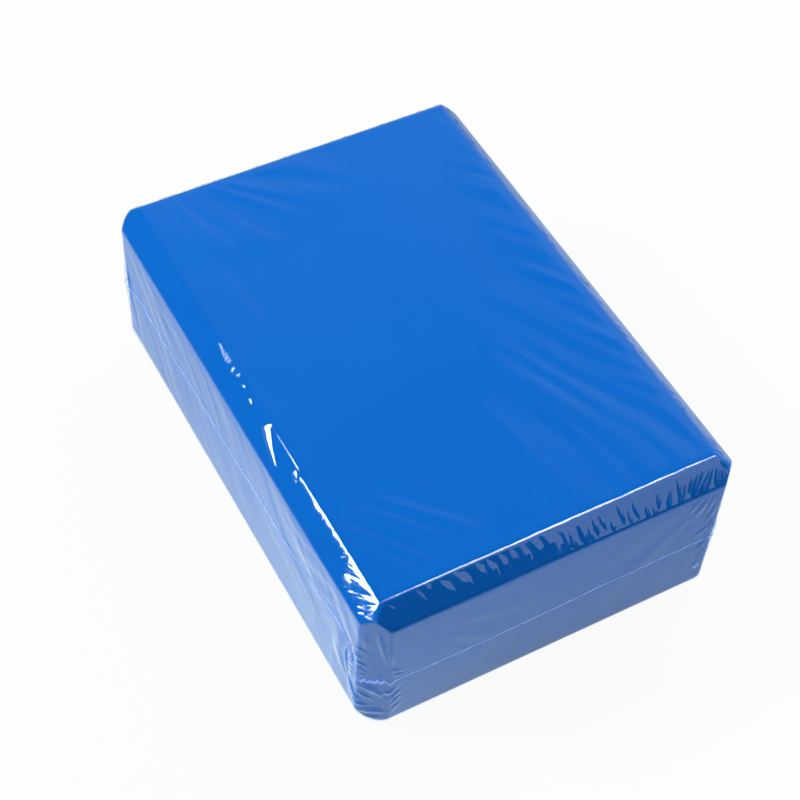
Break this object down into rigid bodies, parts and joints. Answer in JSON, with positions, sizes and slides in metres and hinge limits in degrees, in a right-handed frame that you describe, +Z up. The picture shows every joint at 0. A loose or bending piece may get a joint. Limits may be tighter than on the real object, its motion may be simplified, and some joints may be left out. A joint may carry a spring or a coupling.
{
  "type": "foam block",
  "caption": "Oblong foam exercise block with flat chamfers on every edge, sealed in clear shrink film that is welded round half height and bunched at the upright corners.",
  "frame": {"origin": "middle of the footprint, on the surface that the block lies on", "axes": "+X across the width, towards the side where the film is folded over with no weld; +Y along the length; +Z up"},
  "size_m": [0.1532, 0.2212, 0.0763],
  "materials": {
    "foam": "closed-cell EVA foam, royal blue, moulded skin with a very fine matt grain",
    "film": "clear glossy polyolefin shrink film, with fine wrinkles and bunched corners"
  },
  "bodies": {
    "root": {"foam_block": "foam", "shrink_film": "film"}
  },
  "joints": []
}
